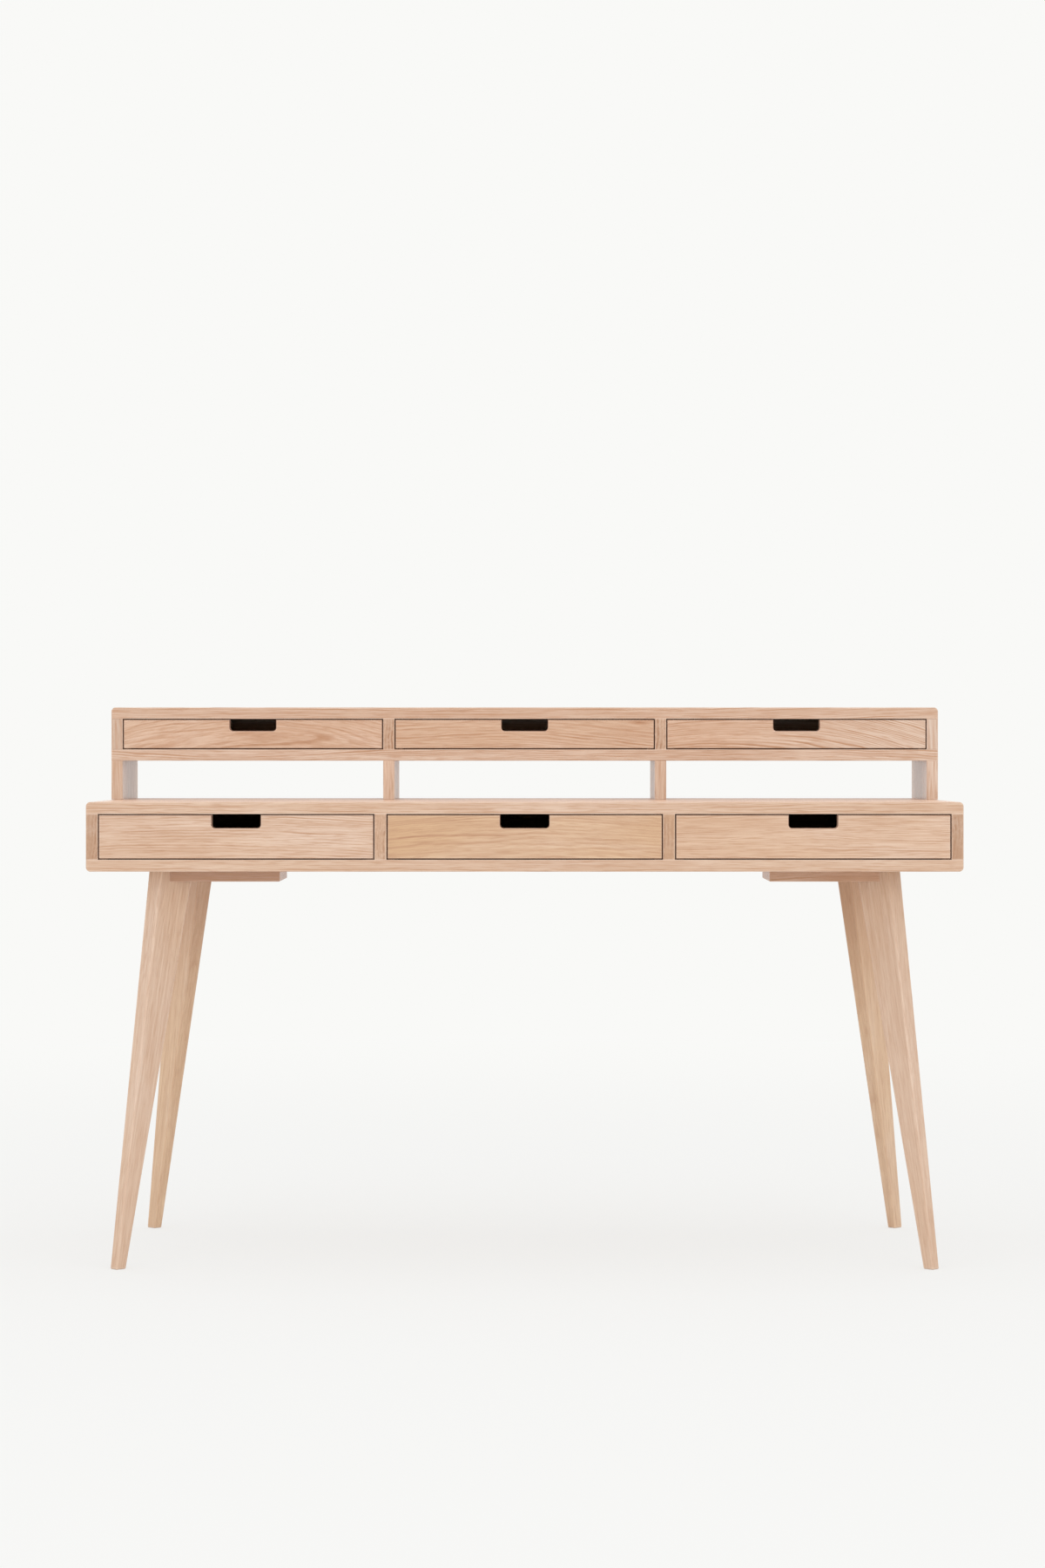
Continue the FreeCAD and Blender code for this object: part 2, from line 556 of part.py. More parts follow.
def drawer(tier, position, index, front, level, depth, opening, notch_depth):
    """The five pieces of one drawer. Its sides run on the board below and stop at the back panel."""
    name = f"{tier}_drawer_{position}"
    left = f"({stand_of_upright_board(index)} + Sizes.board + Sizes.front_gap)"
    height = f"({opening} - 2 * Sizes.front_gap)"
    side_height = f"({height} + {SIDE_FOOT} - Sizes.drawer_rim_drop)"
    foot = f"({level} + Sizes.drawer_seat_play)"
    length = f"({depth} - Sizes.back_thickness - Sizes.drawer_stop_play - {SIDE_START})"
    side_front = f"({front} + {SIDE_START})"
    drawer_front(f"{name}_front", (left, front, f"({level} + Sizes.front_gap)"), height,
                 notch_depth, side_height)
    drawer_side(f"{name}_side_left", (left, side_front, foot), length, side_height, True)
    right = f"({left} + {FRONT_WIDTH} - Sizes.drawer_wall)"
    drawer_side(f"{name}_side_right", (right, side_front, foot), length, side_height, False)
    back_end = f"({side_front} + {length} - Sizes.drawer_back_inset)"
    inner_left = f"({left} + Sizes.drawer_wall)"
    board(f"{name}_back", f"({BOX_INSIDE} + 2 * Sizes.drawer_housing_depth)", "Sizes.drawer_wall",
          f"({side_height} - {GROOVE_TOP})",
          (f"{inner_left} - Sizes.drawer_housing_depth", f"{back_end} - Sizes.drawer_wall",
           f"{foot} + {GROOVE_TOP}"))
    tongue = "(Sizes.drawer_groove_depth - Sizes.drawer_groove_play)"
    panel_front = f"({front} + Sizes.drawer_front_thickness - {tongue})"
    board(f"{name}_bottom", f"({BOX_INSIDE} + 2 * {tongue})", f"({back_end} - {panel_front})",
          "Sizes.drawer_bottom_thickness",
          (f"{inner_left} - {tongue}", panel_front,
           f"{foot} + Sizes.drawer_bottom_lift + Sizes.drawer_groove_play"))


for index, position in enumerate(("left", "middle", "right")):
    drawer("desk", position, index, f"(-{HALF_DEPTH})", DESK_INSIDE, "Sizes.desk_depth",
           "Sizes.desk_opening", "Sizes.desk_notch_depth")
    drawer("gallery", position, index, GALLERY_FRONT, GALLERY_INSIDE, "Sizes.gallery_depth",
           "Sizes.gallery_opening", "Sizes.gallery_notch_depth")

doc.recompute()
for item in doc.Objects:
    if {"Invalid", "Error"} & set(item.State):
        raise RuntimeError(f"{item.Label} failed: {item.State}")
pieces = [item for item in doc.Objects if item.TypeId == "PartDesign::Body"]
pieces += [dowel_group, screw_group]
for piece in pieces:
    if piece.Shape.isNull() or not piece.Shape.isValid():
        raise RuntimeError(f"{piece.Label} has no valid shape")
os.makedirs("parts", exist_ok=True)
for piece in pieces:
    piece.Shape.exportStep(f"parts/{piece.Label}.step")
print(f"{len(pieces)} pieces, {sum(len(piece.Shape.Solids) for piece in pieces)} solids")
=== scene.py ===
from math import radians

import bpy
from mathutils import Euler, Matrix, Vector


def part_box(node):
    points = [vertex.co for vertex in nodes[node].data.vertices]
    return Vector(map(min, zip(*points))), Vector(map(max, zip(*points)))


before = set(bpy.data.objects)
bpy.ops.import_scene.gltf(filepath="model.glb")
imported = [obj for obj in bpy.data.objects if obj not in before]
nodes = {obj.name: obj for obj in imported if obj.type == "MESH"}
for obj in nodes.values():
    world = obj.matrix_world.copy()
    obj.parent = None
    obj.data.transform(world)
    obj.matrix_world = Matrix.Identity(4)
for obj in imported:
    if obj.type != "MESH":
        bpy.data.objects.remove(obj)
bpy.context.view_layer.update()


# Case: two full-width oak boards with two sides and two dividers dowelled between them.
# The wide boards are glued up from full-length staves, then planed, sanded and oiled matt.
# The uprights of the case run their grain front to back, so their front edges are end grain.

def feed(tree, socket, value):
    """Links a value that comes from another node to a socket, or sets a plain value there."""
    if isinstance(value, bpy.types.NodeSocket):
        tree.links.new(value, socket)
    else:
        socket.default_value = value


def put(tree, kind, *values, **settings):
    """Adds a shader node. Values go to its inputs in order, and None leaves an input as it is."""
    node = tree.nodes.new("ShaderNode" + kind)
    for name, value in settings.items():
        setattr(node, name, value)
    for socket, value in zip(node.inputs, values):
        if value is not None:
            feed(tree, socket, value)
    return node


def calc(tree, operation, *values):
    """One step of arithmetic on numbers."""
    return put(tree, "Math", *values, operation=operation).outputs[0]


def move(tree, operation, *values):
    """One step of arithmetic on points and colours."""
    return put(tree, "VectorMath", *values, operation=operation).outputs[0]


def between(tree, value, low, high):
    """A straight line from low to high while the value goes from 0 to 1."""
    return calc(tree, "MULTIPLY_ADD", value, high - low, low)


def rise(tree, value, start, end, low=0.0, high=1.0):
    """A smooth step from low to high while the value goes from start to end."""
    step = put(tree, "MapRange", value, start, end, low, high, interpolation_type="SMOOTHSTEP")
    return step.outputs[0]


NOISE_SCALE = 1.0
NOISE_ROUGHNESS = 0.5


def cloud(tree, point, repeats, detail, output="Fac"):
    """Soft noise, with this many repeats per metre along each axis."""
    scaled = move(tree, "MULTIPLY", point, repeats)
    return put(tree, "TexNoise", scaled, None, NOISE_SCALE, detail, NOISE_ROUGHNESS).outputs[output]


# A Mix node has sockets of every kind. These are its amount, its two colours and the mixed colour.
MIX_AMOUNT = 0
MIX_FIRST = 6
MIX_SECOND = 7
MIX_RESULT = 2


def mixed(tree, amount, first, second, blend_type="MIX"):
    """The first colour, with this amount of the second laid on it."""
    node = put(tree, "Mix", data_type="RGBA", blend_type=blend_type)
    feed(tree, node.inputs[MIX_AMOUNT], amount)
    feed(tree, node.inputs[MIX_FIRST], first)
    feed(tree, node.inputs[MIX_SECOND], second)
    return node.outputs[MIX_RESULT]


def new_group(name, takes, gives):
    """An empty shader group, with the sockets that it takes in and gives out."""
    tree = bpy.data.node_groups.new(name, "ShaderNodeTree")
    for direction, sockets in (("INPUT", takes), ("OUTPUT", gives)):
        for label, kind in sockets:
            tree.interface.new_socket(label, in_out=direction, socket_type="NodeSocket" + kind)
    return tree, tree.nodes.new("NodeGroupInput").outputs, tree.nodes.new("NodeGroupOutput").inputs


def new_material(name):
    """A material with its node tree and its shader."""
    material = bpy.data.materials.new(name)
    material.use_nodes = True
    return material, material.node_tree, material.node_tree.nodes["Principled BSDF"]


def cover(node, material):
    """Gives a piece this material alone."""
    slots = nodes[node].data.materials
    slots.clear()
    slots.append(material)


def shade(red, green, blue):
    """A colour as it is read off a screen, made linear for the shader."""
    def linear(value):
        value /= 255
        return value / 12.92 if value <= 0.04045 else ((value + 0.055) / 1.055) ** 2.4
    return (linear(red), linear(green), linear(blue), 1.0)


# Sawn oak. The point is in metres from the heart of the log, which runs along X. Growth rings are
# rough cylinders round the heart, each a row of open pores that fades into dense wood.
oak, log, made = new_group(
    "oak",
    (("Wood", "Vector"), ("Ring", "Float"), ("Figure", "Float"), ("Pale", "Color"),
     ("Grain", "Color"), ("End", "Float"), ("Bow", "Float"), ("Crest", "Float")),
    (("Color", "Color"), ("Roughness", "Float"), ("Height", "Float")))

# The grain bows round its crest, and sways slowly and quickly on its way along the log.
# Repeats are per metre, along the grain and twice across it, and a sway is in metres.
SLOW_BENDS = (1.5, 8, 8)
SLOW_SWAY = (0, 0.036, 0.036)
QUICK_BENDS = (12, 40, 40)
QUICK_SWAY = (0, 0.0045, 0.0045)
NOISE_MIDDLE = (0.5, 0.5, 0.5)
ACROSS_LOG = (0, 1, 1)
spot = put(oak, "SeparateXYZ", log["Wood"]).outputs
away = calc(oak, "SUBTRACT", spot["X"], log["Crest"])
bent = calc(oak, "MULTIPLY_ADD", calc(oak, "MULTIPLY", away, away), log["Bow"], spot["Z"])
wood = put(oak, "CombineXYZ", spot["X"], spot["Y"], bent).outputs[0]
slow = move(oak, "SUBTRACT", cloud(oak, wood, SLOW_BENDS, 1.5, "Color"), NOISE_MIDDLE)
quick = move(oak, "SUBTRACT", cloud(oak, wood, QUICK_BENDS, 2, "Color"), NOISE_MIDDLE)
wander = move(oak, "ADD", move(oak, "MULTIPLY", slow, SLOW_SWAY),
              move(oak, "MULTIPLY", quick, QUICK_SWAY))
across = move(oak, "MULTIPLY", move(oak, "ADD", wood, wander), ACROSS_LOG)
reach = put(oak, "VectorMath", across, operation="LENGTH").outputs["Value"]

# Wide and narrow years follow each other. Early wood opens fast in spring and closes slowly, it is
# weaker in a poor year, and it breaks up along the grain.
YEAR_CHANGES = 48
YEAR_SPREAD = 2.6
EARLY_PEAK = 0.18
EARLY_END = 0.85
POOR_YEAR = 0.35
RING_BREAKS = (9, 120, 120)
BROKEN_RING = 0.3
years = put(oak, "TexNoise", None, calc(oak, "MULTIPLY", reach, YEAR_CHANGES), NOISE_SCALE, 1.0,
            noise_dimensions="1D").outputs["Fac"]
rings = calc(oak, "ADD", calc(oak, "DIVIDE", reach, log["Ring"]),
             calc(oak, "MULTIPLY", years, YEAR_SPREAD))
year = calc(oak, "FLOOR", rings)
season = calc(oak, "SUBTRACT", rings, year)
vigour = put(oak, "TexWhiteNoise", None, year, noise_dimensions="1D").outputs["Value"]
opening = rise(oak, season, 0.0, EARLY_PEAK)
closing = rise(oak, season, EARLY_PEAK, EARLY_END, 1.0, 0.0)
early = calc(oak, "MULTIPLY", opening, closing)
early = calc(oak, "MULTIPLY", early, rise(oak, vigour, 0.0, 1.0, POOR_YEAR, 1.0))
broken = rise(oak, cloud(oak, wood, RING_BREAKS, 1), 0.34, 0.62, BROKEN_RING, 1.0)
early = calc(oak, "MULTIPLY", early, broken)

# Pores are short fine lines, most of them in early wood. Dashes are longer and show more in wood
# with a strong figure. End grain has fewer of both. Streaks and fibres run all through.
PORE_LINES = (34, 900, 900)
DASH_LINES = (30, 520, 520)
STREAK_LINES = (4, 230, 230)
FIBRE_LINES = (14, 1000, 1000)
LATE_PORES = 0.15
END_PORES = 0.3
DASH_SHARE = 0.54
END_DASH_SHARE = 0.14
CALM_DASHES = 0.4
LIVELY_PER_FIGURE = 0.667
pores = rise(oak, cloud(oak, wood, PORE_LINES, 1), 0.54, 0.68)
pores = calc(oak, "MULTIPLY", pores, between(oak, early, LATE_PORES, 1.0))
pores = calc(oak, "MULTIPLY", pores, between(oak, log["End"], 1.0, END_PORES))
lively = put(oak, "Math", log["Figure"], LIVELY_PER_FIGURE, operation="MULTIPLY",
             use_clamp=True).outputs[0]
dashes = rise(oak, cloud(oak, wood, DASH_LINES, 2), 0.45, 0.7)
dashes = calc(oak, "MULTIPLY", dashes, between(oak, log["End"], DASH_SHARE, END_DASH_SHARE))
dashes = calc(oak, "MULTIPLY", dashes, between(oak, lively, CALM_DASHES, 1.0))
streaks = cloud(oak, wood, STREAK_LINES, 3)
fibres = cloud(oak, wood, FIBRE_LINES, 2)

# Broad and small patches are lighter or darker than the rest, and the lines lie over them.
# The darker patches are the wood's own tone. The lighter ones are partly its tone and partly a
# painted sheen, a pinkish-white haze. A share is how much of the other tone is laid on at most.
OAK_LIGHT_AND_SHEEN = (0.87, 0.72, 0.61, 1)
END_SHADE = (0.66, 0.6, 0.56, 1)
BROAD_PATCHES = (2.2, 7, 7)
SMALL_PATCHES = (7, 30, 30)
RING_SHARE = 0.62
PORE_SHARE = 0.4
STREAK_SHARE = 0.32
FIBRE_SHARE = 0.2
END_SHARE = 0.55
tint = log["Pale"]
for repeats, light_from, light_and_sheen_share, dark_share in ((BROAD_PATCHES, 0.45, 0.28, 0.22),
                                                     (SMALL_PATCHES, 0.5, 0.25, 0.2)):
    patches = cloud(oak, wood, repeats, 1)
    tint = mixed(oak, rise(oak, patches, light_from, 0.75, 0.0, light_and_sheen_share), tint, OAK_LIGHT_AND_SHEEN)
    darker = calc(oak, "MULTIPLY", rise(oak, patches, 0.25, 0.5, dark_share, 0.0), lively)
    tint = mixed(oak, darker, tint, log["Grain"])
figured = calc(oak, "MULTIPLY", early, calc(oak, "MULTIPLY", log["Figure"], RING_SHARE))
tint = mixed(oak, figured, tint, log["Grain"])
tint = mixed(oak, dashes, tint, log["Grain"])
tint = mixed(oak, calc(oak, "MULTIPLY", pores, PORE_SHARE), tint, log["Grain"], "MULTIPLY")
tint = mixed(oak, rise(oak, streaks, 0.3, 0.7, 0.0, STREAK_SHARE), tint, log["Grain"])
tint = mixed(oak, rise(oak, fibres, 0.3, 0.7, 0.0, FIBRE_SHARE), tint, log["Grain"])
tint = mixed(oak, calc(oak, "MULTIPLY", log["End"], END_SHARE), tint, END_SHADE, "MULTIPLY")
feed(oak, made["Color"], tint)

# Oil leaves dense wood smoothest. Early wood and pores are rougher and lie a little lower.
DENSE_ROUGHNESS = 0.26
EARLY_ROUGHNESS = 0.1
PORE_ROUGHNESS = 0.2
EARLY_DEPTH = 0.00004
PORE_DEPTH = 0.00012
matt = calc(oak, "MULTIPLY_ADD", early, EARLY_ROUGHNESS, DENSE_ROUGHNESS)
feed(oak, made["Roughness"], calc(oak, "MULTIPLY_ADD", pores, PORE_ROUGHNESS, matt))
sunk = calc(oak, "MULTIPLY", early, -EARLY_DEPTH)
feed(oak, made["Height"], calc(oak, "MULTIPLY_ADD", pores, -PORE_DEPTH, sunk))

# Staves: strips of this width, side by side along the Y of the wood. Each is shifted to a place of
# its own in the log, and the glue line between two of them shows as a fine seam.
STAVE_SHIFT = 0.09
STAVE_LIFT = 0.07
STAVE_LOWEST = 0.012
STAVE_TILT = 0.05
STAVE_TRAVEL = 9.0
SEAM_CORE = 0.0001
SEAM_REACH = 0.0005
staves, strip, cut = new_group(
    "staves", (("Wood", "Vector"), ("Width", "Float")),
    (("Wood", "Vector"), ("Tone", "Float"), ("Seam", "Float")))
parts = put(staves, "SeparateXYZ", strip["Wood"]).outputs
count = calc(staves, "DIVIDE", parts["Y"], strip["Width"])
which = calc(staves, "FLOOR", count)
within = calc(staves, "SUBTRACT", calc(staves, "SUBTRACT", count, which), 0.5)
chance = put(staves, "TexWhiteNoise", None, which, noise_dimensions="1D").outputs
luck = put(staves, "SeparateXYZ", chance["Color"]).outputs
own_x = calc(staves, "MULTIPLY_ADD", chance["Value"], STAVE_TRAVEL, parts["X"])
own_y = calc(staves, "MULTIPLY_ADD", calc(staves, "SUBTRACT", luck["X"], 0.5), STAVE_SHIFT,
             calc(staves, "MULTIPLY", within, strip["Width"]))
lifted = calc(staves, "ADD", parts["Z"],
              calc(staves, "MULTIPLY_ADD", luck["Y"], STAVE_LIFT, STAVE_LOWEST))
tilt = calc(staves, "MULTIPLY", calc(staves, "SUBTRACT", luck["Z"], 0.5), STAVE_TILT)
own_z = calc(staves, "MULTIPLY_ADD", parts["X"], tilt, lifted)
feed(staves, cut["Wood"], put(staves, "CombineXYZ", own_x, own_y, own_z).outputs[0])
feed(staves, cut["Tone"], chance["Value"])
from_edge = calc(staves, "SUBTRACT", 0.5, calc(staves, "ABSOLUTE", within))
from_seam = calc(staves, "MULTIPLY", from_edge, strip["Width"])
feed(staves, cut["Seam"], rise(staves, from_seam, SEAM_CORE, SEAM_REACH, 1.0, 0.0))

# Arrises: eased edges with a painted highlight. Band is 1 beside an edge and fades over the reach.
# Bevel is 1 on the narrow slanting faces of eased edges, and 0 on faces square to the case.
arrises, edge, edge_masks = new_group(
    "arrises", (("Reach", "Float"),), (("Band", "Float"), ("Bevel", "Float")))
flat = put(arrises, "NewGeometry").outputs["True Normal"]
rounded = put(arrises, "Bevel", edge["Reach"], samples=8).outputs[0]
level = put(arrises, "VectorMath", rounded, flat, operation="DOT_PRODUCT").outputs["Value"]
feed(arrises, edge_masks["Band"], rise(arrises, level, 0.88, 0.99, 1.0, 0.0))
slant = put(arrises, "SeparateXYZ", move(arrises, "ABSOLUTE", flat)).outputs
square = calc(arrises, "MAXIMUM", calc(arrises, "MAXIMUM", slant["X"], slant["Y"]), slant["Z"])
feed(arrises, edge_masks["Bevel"], rise(arrises, square, 0.8, 0.95, 1.0, 0.0))

LOG_AXIS = Vector((1, 0, 0))
GRAIN_TURNS = {"X": (0, 0, 0), "Y": (0, 0, -90), "Z": (0, 90, 0)}


def sawn(grain, slope):
    """The turn that lays a board in its log, tilted by the slope, and the axis of its grain."""
    if grain in GRAIN_TURNS:
        turn = Euler([radians(angle) for angle in GRAIN_TURNS[grain]]).to_matrix()
        axis = turn.transposed() @ LOG_AXIS
    else:
        axis = Vector(grain).normalized()
        turn = axis.rotation_difference(LOG_AXIS).to_matrix()
    return Euler((0, radians(slope[0]), radians(slope[1]))).to_matrix() @ turn, axis


OAK_PALE = shade(227, 198, 173)
OAK_GRAIN = shade(190, 146, 113)
# A painted highlight along eased edges.
ARRIS_HIGHLIGHT = shade(243, 222, 203)
# A painted shade of dark brown for the slanting faces of eased edges in the drawer gaps.
GAP_SHADE = shade(94, 44, 18)
BOARD_EDGE_HIGHLIGHT = (0.004, 0.3)
SQUARE_ON = (0.6, 0.9)
STAVE_TONE_SHARE = 0.3
SEAM_SHARE = 0.5
RIM_ROUGHNESS = 0.7
BUMP_STRENGTH = 0.6
BUMP_DISTANCE = 1.0
OILED = {"IOR": 1.45, "Coat Roughness": 0.2, "Sheen Weight": 0.3, "Sheen Roughness": 0.35,
         "Sheen Tint": shade(255, 216, 192)}


def oak_finish(node, grain, heart, slope=(0, 0), pale=OAK_PALE, dark=OAK_GRAIN, figure=1.5,
               face=None, ring=0.0029, stave=None, bow=0.0, crest=0.0, edge_highlight=BOARD_EDGE_HIGHLIGHT, rim_shade=0.0,
               rough=0.0, wax=0.0, drift=None):
    """Gives a board its own piece of oak, with lengths in metres.
    Grain is the axis, or the direction, that it was sawn along. Heart is where its middle lay in
    the log, and slope is how many degrees it was tilted there.
    Pale and dark are the tones of the wood and of its grain. Drift is an axis, the two places where
    pale starts and stops changing along it, and the tone that it changes to.
    Figure is how strongly the rings show, face is the same on the two wide faces, and ring is the
    width of a ring. Bow bends the grain round its crest, which is measured along the grain from
    the board's middle. Stave is the width of the strips that a wide board is glued up from.
    Edge highlight is how far a painted highlight reaches in from the edges, and how strong it is.
    Rim shade is how much painted shade, a dark brown, lies on their slanting faces.
    Rough is added to the roughness of unoiled wood, and wax is the weight of a coat over it."""
    low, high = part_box(node)
    middle = (low + high) / 2
    turn, axis = sawn(grain, slope)
    material, tree, shader = new_material(node + "_oak")
    point = put(tree, "TexCoord").outputs["Object"]
    place = put(tree, "Mapping", point, Vector(heart) - turn @ middle, turn.to_euler()).outputs[0]
    if stave:
        strips = put(tree, "Group", place, stave, node_tree=staves).outputs
        place = strips["Wood"]
    normal = put(tree, "NewGeometry").outputs["Normal"]
    facing = put(tree, "VectorMath", normal, axis, operation="DOT_PRODUCT").outputs["Value"]
    end = rise(tree, calc(tree, "ABSOLUTE", facing), *SQUARE_ON)
    if face is not None:
        thinnest = min(range(3), key=lambda index: high[index] - low[index])
        broad = put(tree, "SeparateXYZ", move(tree, "ABSOLUTE", normal)).outputs[thinnest]
        figure = rise(tree, broad, *SQUARE_ON, figure, face)
    if drift:
        along, start, stop, other = drift
        changed = rise(tree, put(tree, "SeparateXYZ", point).outputs[along], start, stop)
        pale = mixed(tree, changed, pale, other)
    surface = put(tree, "Group", place, ring, figure, pale, dark, end, bow, heart[0] + crest,
                  node_tree=oak).outputs
    tint = surface["Color"]
    if stave:
        darker = rise(tree, strips["Tone"], 0.0, 1.0, 0.0, STAVE_TONE_SHARE)
        tint = mixed(tree, darker, tint, dark)
        tint = mixed(tree, calc(tree, "MULTIPLY", strips["Seam"], SEAM_SHARE), tint, dark)
    # A painted highlight along the edges.
    highlight_reach, highlight_share = edge_highlight
    edges = put(tree, "Group", highlight_reach, node_tree=arrises).outputs
    tint = mixed(tree, calc(tree, "MULTIPLY", edges["Band"], highlight_share), tint, ARRIS_HIGHLIGHT)
    matt = calc(tree, "ADD", surface["Roughness"], rough)
    # Painted shade in the gaps: the slanting faces of eased edges are painted dark brown.
    if rim_shade:
        tint = mixed(tree, calc(tree, "MULTIPLY", edges["Bevel"], rim_shade), tint, GAP_SHADE)
        matt = calc(tree, "MULTIPLY_ADD", edges["Bevel"], RIM_ROUGHNESS, matt)
    bump = put(tree, "Bump", BUMP_STRENGTH, BUMP_DISTANCE)
    feed(tree, bump.inputs["Height"], surface["Height"])
    feed(tree, shader.inputs["Base Color"], tint)
    feed(tree, shader.inputs["Roughness"], matt)
    feed(tree, shader.inputs["Normal"], bump.outputs[0])
    shader.inputs["Coat Weight"].default_value = wax
    for socket, value in OILED.items():
        shader.inputs[socket].default_value = value
    cover(node, material)


BOARD_LOOKS = {"pale": shade(233, 208, 184), "figure": 1.9, "face": 1.0, "stave": 0.1}
oak_finish("desk_top", "X", (3.1, 0.35, 0.02), **BOARD_LOOKS)
oak_finish("desk_bottom", "X", (7.4, 0.85, 0.03), **BOARD_LOOKS)

END_PALE = shade(217, 182, 153)
END_LOOKS = {"slope": (0.5, 0), "figure": 2.2, "face": 1.1, "ring": 0.0048}
for name, heart, pale in (("side_left", (1.2, 0.45, 0.006), END_PALE),
                          ("side_right", (4.2, -0.45, -0.01), END_PALE),
                          ("divider_left", (6.2, 0.48, 0.012), shade(237, 203, 173)),
                          ("divider_right", (8.9, -0.46, 0.004), shade(224, 186, 151))):
    oak_finish("desk_" + name, "Y", heart, pale=pale, **END_LOOKS)


# Backs: thin oak-veneered panels that close the two cases at the back.
# They are let in flush between the boards, and the drawers stop against them.

BACK_FIGURE = 1.1
oak_finish("desk_back", "X", (2.2, 0.05, 0.08), (0, 1.0), figure=BACK_FIGURE)
oak_finish("gallery_back", "X", (5.2, 0.04, -0.06), (0, -0.8), figure=BACK_FIGURE)


# Gallery: four oak uprights with upright grain carry a smaller case of the same build, dowelled and
# glued. Its sides stand over the outer uprights with their grain upright too, and its dividers run
# theirs front to back.

UPRIGHT_FACE = 0.9
UPRIGHT_WAX = 0.25
for name, heart, slope, pale in (
        ("outer_left", (0.7, 0.05, 0.060), (0.5, 0.6), shade(212, 183, 157)),
        ("inner_left", (1.9, -0.06, 0.055), (0.5, 0.5), shade(238, 214, 192)),
        ("inner_right", (3.3, 0.03, 0.045), (-1.0, 1.0), shade(228, 204, 182)),
        ("outer_right", (4.7, 0.03, 0.045), (-1.0, 1.0), shade(228, 206, 187))):
    oak_finish("upright_" + name, "Z", heart, slope, pale, face=UPRIGHT_FACE, wax=UPRIGHT_WAX)

GALLERY_LOOKS = {"pale": shade(235, 215, 196), "figure": 2.2, "face": 1.0, "stave": 0.08}
oak_finish("gallery_bottom", "X", (1.7, 0.22, 0.025), **GALLERY_LOOKS)
oak_finish("gallery_top", "X", (9.3, 0.62, 0.03), **GALLERY_LOOKS)

GALLERY_SIDE_SLOPE = (0.5, 1.0)
for name, heart, pale in (("left", (5.9, 0.03, 0.05), shade(211, 190, 171)),
                          ("right", (6.6, 0.03, 0.05), shade(231, 217, 202))):
    oak_finish("gallery_side_" + name, "Z", heart, GALLERY_SIDE_SLOPE, pale, face=UPRIGHT_FACE)
for name, heart, pale in (("left", (7.7, 0.45, 0.006), shade(235, 207, 180)),
                          ("right", (8.4, -0.45, 0.01), shade(241, 217, 192))):
    oak_finish("gallery_divider_" + name, "Y", heart, pale=pale, **END_LOOKS)


# Legs: solid oak, sawn from a plank with the grain down their length, tapered on all four faces,
# softened along the arrises and glued into slots in the plates. Each leans out to its own corner.

LEG_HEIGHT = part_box("desk_bottom")[0].z
LEG_SPLAY = 0.078
LEG_LEAN = LEG_SPLAY / LEG_HEIGHT
# Towards the top of each leg its pale changes to a painted tone. It is darker on the back legs and
# the front right leg, as painted shade under the case, and lighter on the front left leg, as painted
# light against the shade there.
LEG_PAINTED_FROM = 0.34
LEG_PAINTED_TO = 0.62
# The legs' edges carry a strong painted highlight along the ridge.
LEG_LOOKS = {"slope": (0.2, 0.3), "figure": 0.5, "ring": 0.0024, "edge_highlight": (0.007, 0.6)}
FRONT_LEG_PALE = shade(224, 195, 168)
BACK_LEG_PALE = shade(232, 202, 168)
BACK_LEG_TOP_SHADE = shade(205, 167, 134)
for name, side_x, side_y, heart, pale, top in (
        ("front_left", -1, -1, (0.9, 0.075, 0.08), FRONT_LEG_PALE, shade(236, 208, 181)),
        ("front_right", 1, -1, (2.4, 0.08, -0.07), FRONT_LEG_PALE, shade(221, 191, 163)),
        ("back_left", -1, 1, (4.1, -0.09, 0.075), BACK_LEG_PALE, BACK_LEG_TOP_SHADE),
        ("back_right", 1, 1, (5.6, -0.07, -0.085), BACK_LEG_PALE, BACK_LEG_TOP_SHADE)):
    down = (side_x * LEG_LEAN, side_y * LEG_LEAN, -1)
    oak_finish("leg_" + name, down, heart, pale=pale, drift=("Z", LEG_PAINTED_FROM, LEG_PAINTED_TO, top),
               **LEG_LOOKS)


# Leg plates: flat oak plates under the case that hold the legs, each fixed with four zinc-plated
# countersunk screws.

# The plates' edges get only a faint painted highlight.
PLATE_LOOKS = {"slope": (0.8, 0.6), "figure": 2.0, "edge_highlight": (0.004, 0.1)}
BACK_PLATE_PALE = shade(205, 164, 136)
for name, heart, pale in (("front_left", (1.4, 0.03, 0.06), shade(184, 136, 108)),
                          ("front_right", (3.6, 0.04, 0.05), shade(213, 172, 144)),
                          ("back_left", (5.3, -0.03, 0.06), BACK_PLATE_PALE),
                          ("back_right", (7.1, 0.02, 0.07), BACK_PLATE_PALE)):
    oak_finish("leg_plate_" + name, "X", heart, pale=pale, **PLATE_LOOKS)

ZINC_BRIGHT = shade(205, 203, 196)
ZINC_DULL = shade(168, 165, 152)
ZINC_SPOTS = (900, 900, 900)
zinc, zinc_tree, zinc_shader = new_material("zinc_plate")
zinc_shader.inputs["Metallic"].default_value = 1.0
spots = cloud(zinc_tree, put(zinc_tree, "TexCoord").outputs["Object"], ZINC_SPOTS, 2)
feed(zinc_tree, zinc_shader.inputs["Base Color"], mixed(zinc_tree, spots, ZINC_BRIGHT, ZINC_DULL))
feed(zinc_tree, zinc_shader.inputs["Roughness"], rise(zinc_tree, spots, 0.3, 0.7, 0.28, 0.45))
cover("leg_plate_screws", zinc)


# Dowels: beech pegs across every joint between an upright and a flat board.
# They are glued into blind holes, so they show only when the cases come apart.

BEECH_PALE = shade(222, 184, 148)
BEECH_GRAIN = shade(196, 150, 112)
oak_finish("carcass_dowels", "Z", (2.0, 0.03, 0.05), pale=BEECH_PALE, dark=BEECH_GRAIN, figure=0.5,
           ring=0.002)


